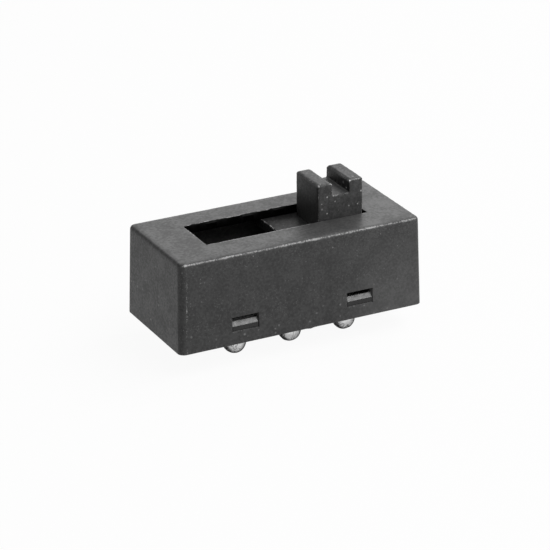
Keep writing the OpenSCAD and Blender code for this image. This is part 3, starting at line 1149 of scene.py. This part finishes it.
def head_sizes(node):
    """Radius and underside of a terminal's head, and radius and floor of the dish on it."""
    low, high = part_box(node)
    middle = (low + high) / 2
    points = [(abs(v.co.x - middle.x), v.co.z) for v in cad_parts[node].data.vertices]
    head_r = (high.x - low.x) / 2
    head_z = min(z for r, z in points if r > head_r - 0.01 * MM)
    dish_z = min(z for r, z in points if r < head_r * 0.75 and z > head_z + TINY)
    dish_r = max(r for r, z in points if abs(z - dish_z) < TINY)
    return head_r, head_z, dish_r, dish_z


def spin_up(points, centre, steps):
    """Turned solid from points of radius and height, from the axis round to the axis."""
    bm = bmesh.new()
    verts = [bm.verts.new((centre.x + r, centre.y, z)) for r, z in points]
    edges = [bm.edges.new(pair) for pair in zip(verts, verts[1:])]
    bmesh.ops.spin(
        bm,
        geom=verts + edges,
        cent=(centre.x, centre.y, 0),
        axis=(0, 0, 1),
        angle=2 * math.pi,
        steps=steps,
        use_merge=True,
    )
    bmesh.ops.remove_doubles(bm, verts=bm.verts, dist=TINY / 2)
    return bm


def build_rivet(node, seed):
    """Rivet terminal with its round nose, unevenly wetted with solder."""
    low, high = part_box(node)
    middle = (low + high) / 2
    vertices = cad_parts[node].data.vertices
    post_r = max(v.co.x for v in vertices if v.co.z < rim_z + 0.01 * MM) - middle.x
    stem_r = post_r * STEM_SHARE
    head_r, head_z, dish_r, dish_z = head_sizes(node)
    nose = [
        (post_r * math.sin(a), low.z + post_r * (1 - math.cos(a)))
        for a in (math.radians(90 * i / 16) for i in range(17))
    ]
    shaft = [(post_r, low.z + post_r + (rim_z - low.z - post_r) * i / 6) for i in range(1, 7)]
    top = [
        (stem_r, rim_z),
        (stem_r, head_z),
        (head_r, head_z),
        (head_r, high.z),
        (dish_r, high.z),
        (dish_r, dish_z),
        (0, dish_z),
    ]
    bm = spin_up(nose + shaft + top, middle, 48)
    face_out(bm)
    pushes = []
    for v in bm.verts:
        p = v.co
        if p.z < rim_z - TINY:
            swell = 0.07 * ripple(p, 0.8 * MM, 20 + seed) + 0.03 * ripple(p, 0.35 * MM, 30 + seed)
            pushes.append((v, -swell * MM * v.normal))
    push_points(pushes)
    return bm


terminals = [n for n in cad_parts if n.startswith("terminal_") and n != "terminal_board"]
for seed, node in enumerate(sorted(terminals)):
    name = node.replace("terminal", "rivet")
    make_piece(build_rivet(node, seed), name, "switch_body", tinned, [node])


# ---------------------------------------------------------------- springs


def fit_spring(node):
    """Coil made from the spring's own solid, riding on the slider's body with a mesh of its own."""
    bm = bmesh.new()
    bm.from_mesh(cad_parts[node].data)
    bmesh.ops.remove_doubles(bm, verts=bm.verts, dist=TINY / 10)
    coil = make_piece(
        bm, node.replace("spring", "coil"), "slider_body", spring_wire, [node], 60
    )
    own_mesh(coil)


fit_spring("contact_spring")
fit_spring("detent_spring")


# ---------------------------------------------------------------- nodes that keep their shape


def dress(prefix, material):
    """Gives a finish to the CAD nodes whose names start with a prefix."""
    for name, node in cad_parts.items():
        if name.startswith(prefix):
            node.data.materials.clear()
            node.data.materials.append(material)


dress("terminal_board", board_plastic)
dress("fixed_contact", silver)
dress("bridge_contact", silver)
dress("contact_bridge", copper)
dress("detent_ball", ball_steel)


# ---------------------------------------------------------------- floor, light and camera


def stage_material():
    """Pale floor that shows white where nothing shades it, and keeps the object's shadow."""
    material = bpy.data.materials.new("floor")
    net = empty_net(material)
    path = net.add("ShaderNodeLightPath").outputs
    seen = net.math("MAXIMUM", path["Is Camera Ray"], path["Is Transmission Ray"])
    # Reflections keep the shadow under the object, between its two rows of posts
    part = net.axes(net.add("ShaderNodeTexCoord").outputs["Object"])
    beside = net.ramp(net.math("ABSOLUTE", part["X"]), half_l - MM, half_l)
    row_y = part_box("terminal_back_left")[1].y
    across = net.math("ABSOLUTE", part["Y"])
    outside = net.math("MAXIMUM", beside, net.ramp(across, row_y - 1.4 * MM, row_y - 0.4 * MM))
    # Painted light: the table shows whiter in reflections close to the left end
    painted_left_light = net.ramp(part["X"], -half_l - 10 * MM, -half_l - 3 * MM)
    painted_left_light = net.math("MULTIPLY", painted_left_light, net.ramp(part["X"], -half_l + 2 * MM, -half_l))
    lit = net.math("MULTIPLY", painted_left_light, FLOOR_PAINTED_LIGHT_LEFT)
    lit = net.math("ADD", lit, FLOOR_MIRRORED)
    mirrored = net.math("MULTIPLY", net.math("MULTIPLY", path["Is Glossy Ray"], lit), outside)
    share = net.math("MAXIMUM", net.math("MULTIPLY", seen, FLOOR_SEEN), mirrored)
    matt = net.add("ShaderNodeBsdfDiffuse", {"Color": grey(FLOOR_TONE)}).outputs[0]
    white = net.add("ShaderNodeEmission", {"Color": grey(1.0), "Strength": 1.0}).outputs[0]
    mix = net.add("ShaderNodeMixShader", {0: share, 1: matt, 2: white})
    net.add("ShaderNodeOutputMaterial", {"Surface": mix.outputs[0]})
    return material


def lay_floor():
    """Large flat floor under the object."""
    bm = bmesh.new()
    bmesh.ops.create_grid(bm, x_segments=1, y_segments=1, size=3.0)
    mesh = bpy.data.meshes.new("floor")
    bm.to_mesh(mesh)
    bm.free()
    mesh.materials.append(stage_material())
    add_object("floor", mesh)


def light_world():
    """Surroundings that show white and shine with a weak fill light."""
    world = bpy.data.worlds.new("studio")
    bpy.context.scene.world = world
    net = empty_net(world)
    path = net.add("ShaderNodeLightPath").outputs
    seen = net.math("MAXIMUM", path["Is Glossy Ray"], path["Is Transmission Ray"])
    seen = net.math("MAXIMUM", path["Is Camera Ray"], seen)
    fill, white = (
        net.add("ShaderNodeBackground", {"Color": grey(1.0), "Strength": strength}).outputs[0]
        for strength in (FILL_LIGHT, 1.0)
    )
    mix = net.add("ShaderNodeMixShader", {0: seen, 1: fill, 2: white})
    net.add("ShaderNodeOutputWorld", {"Surface": mix.outputs[0]})


def lamp(name, place, target, width, depth, brightness):
    """Plain oblong softbox."""
    data = bpy.data.lights.new(name, "AREA")
    data.shape = "RECTANGLE"
    data.size, data.size_y = width, depth
    data.energy = brightness * math.pi * width * depth
    light = add_object(name, data)
    light.location = place
    light.rotation_euler = (Vector(target) - Vector(place)).to_track_quat("-Z", "Y").to_euler()
    light.visible_camera = False


def aim_camera():
    """Camera on a long lens, from the front left and above."""
    low, high = cad_box
    aim = (low + high) / 2 + Vector(CAMERA_OFFSET) * MM
    ahead = Vector(CAMERA_AHEAD).normalized()
    side = ahead.cross(Vector((0, 0, 1))).normalized()
    up = side.cross(ahead)
    roll = math.radians(CAMERA_ROLL)
    right = math.cos(roll) * side + math.sin(roll) * up
    head = -math.sin(roll) * side + math.cos(roll) * up
    data = bpy.data.cameras.new("camera")
    data.sensor_width = 36
    data.lens = CAMERA_LENS
    data.clip_start = 0.01
    data.clip_end = 20
    camera = add_object("camera", data)
    turn = Matrix((right, head, -ahead)).transposed().to_4x4()
    camera.matrix_world = Matrix.Translation(aim - ahead * CAMERA_DISTANCE * MM) @ turn
    bpy.context.scene.camera = camera


lay_floor()
light_world()
lamp("overhead softbox", (0.26, -0.18, 0.54), (0, 0, 0.01), 0.95, 0.32, 4.6)
lamp("back softbox", (0.42, 0.6, 0.36), (0, 0, 0.01), 0.45, 0.45, 1.25)
aim_camera()
bpy.context.scene.view_settings.view_transform = "Standard"
